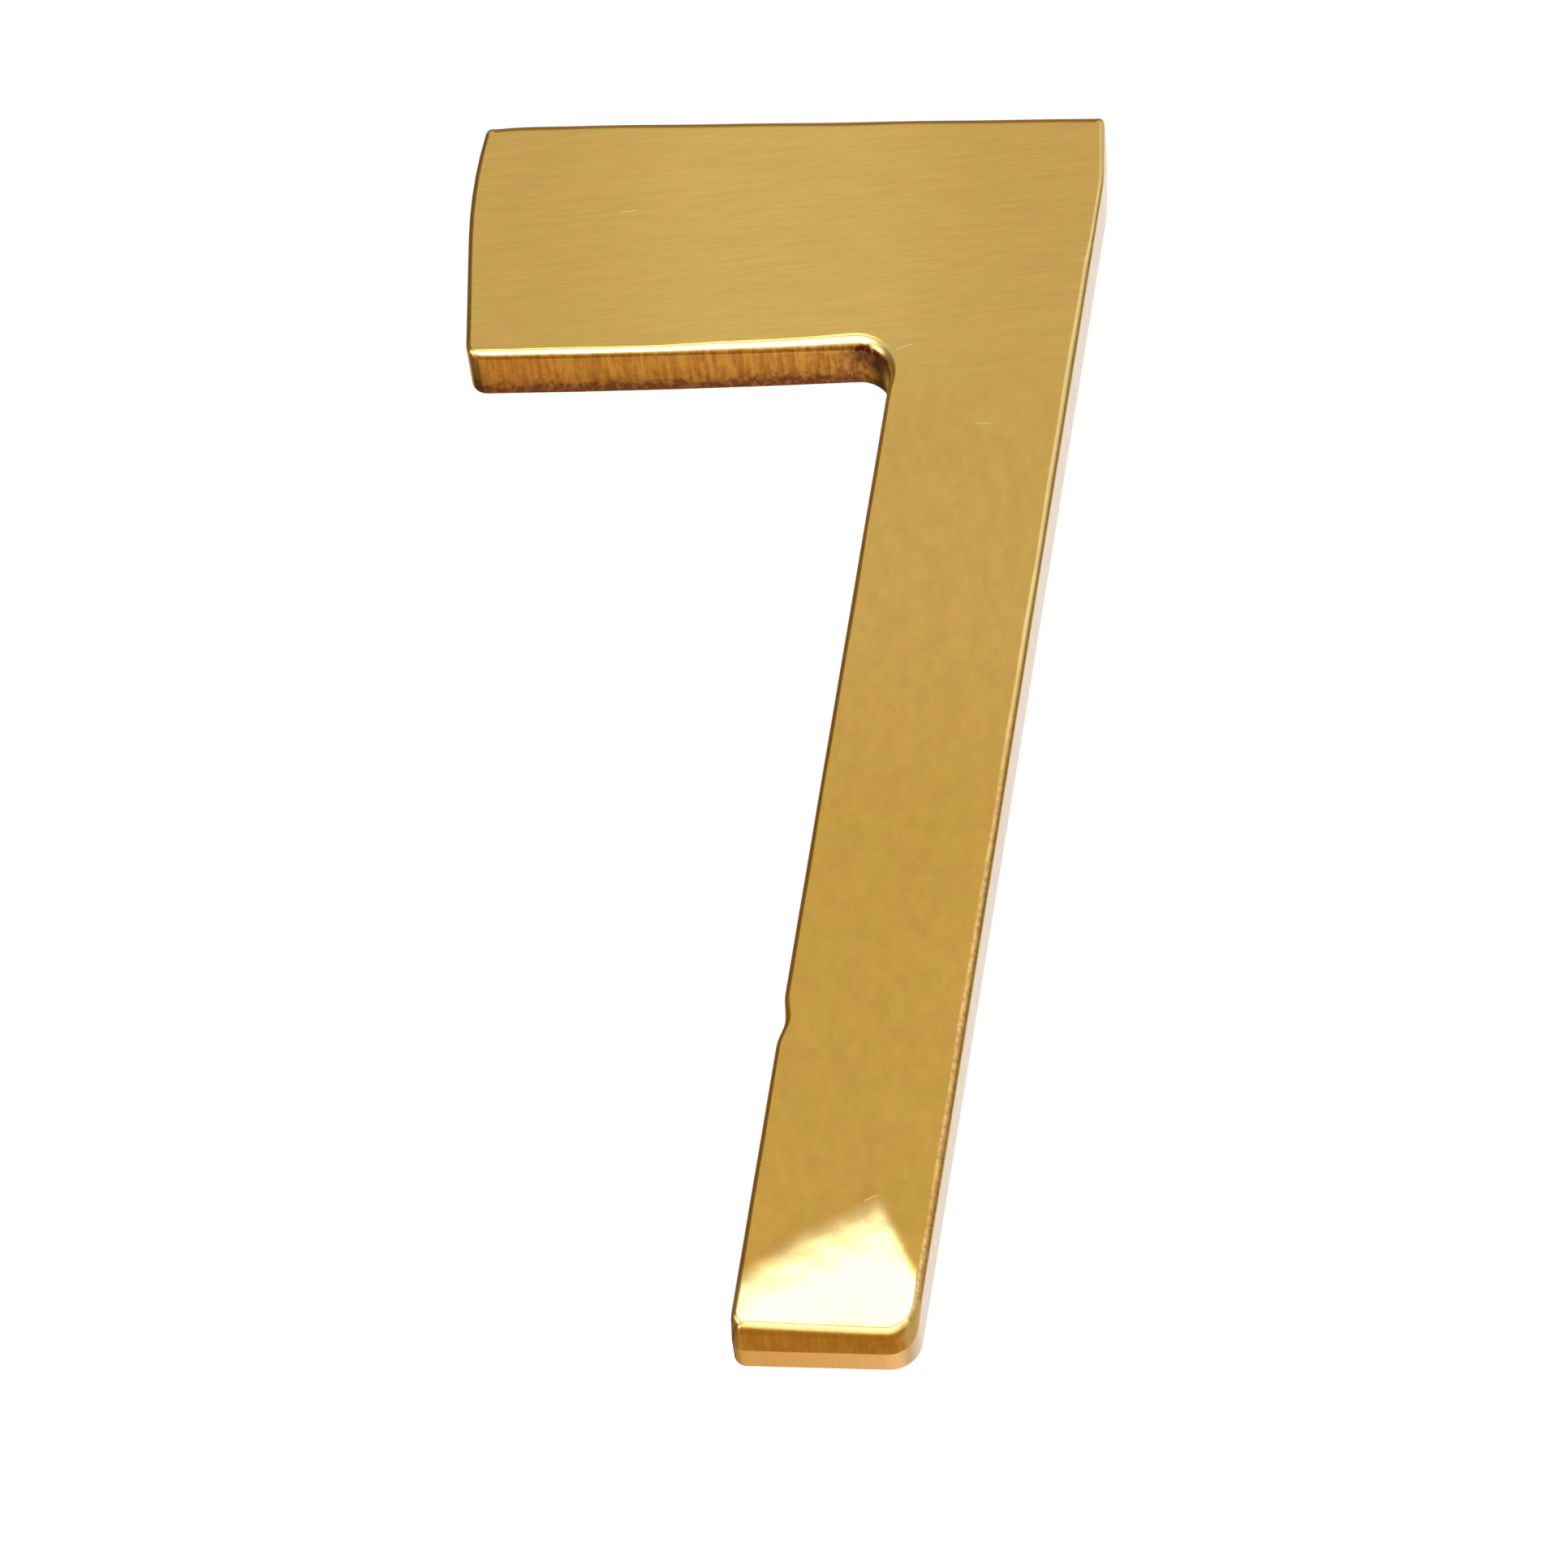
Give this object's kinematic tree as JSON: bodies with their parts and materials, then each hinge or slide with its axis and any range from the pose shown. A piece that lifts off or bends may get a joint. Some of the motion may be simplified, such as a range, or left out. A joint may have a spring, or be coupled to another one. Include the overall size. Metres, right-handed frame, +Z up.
{
  "type": "door numeral",
  "caption": "Solid brass door numeral seven with a satin face, rolled front edges and blind tapped holes in its flat back for concealed fixing studs.",
  "frame": {"origin": "on the flat back, midway between the two fixing holes", "axes": "+Z up the numeral as it is fixed to a door, +Y out of its back towards the door, +X to the right as its face is read"},
  "size_m": [0.0367, 0.005, 0.0759],
  "materials": {
    "brass": "satin brushed face, duller sawn and filed walls"
  },
  "bodies": {
    "root": {"numeral_seven": "brass"}
  },
  "joints": []
}
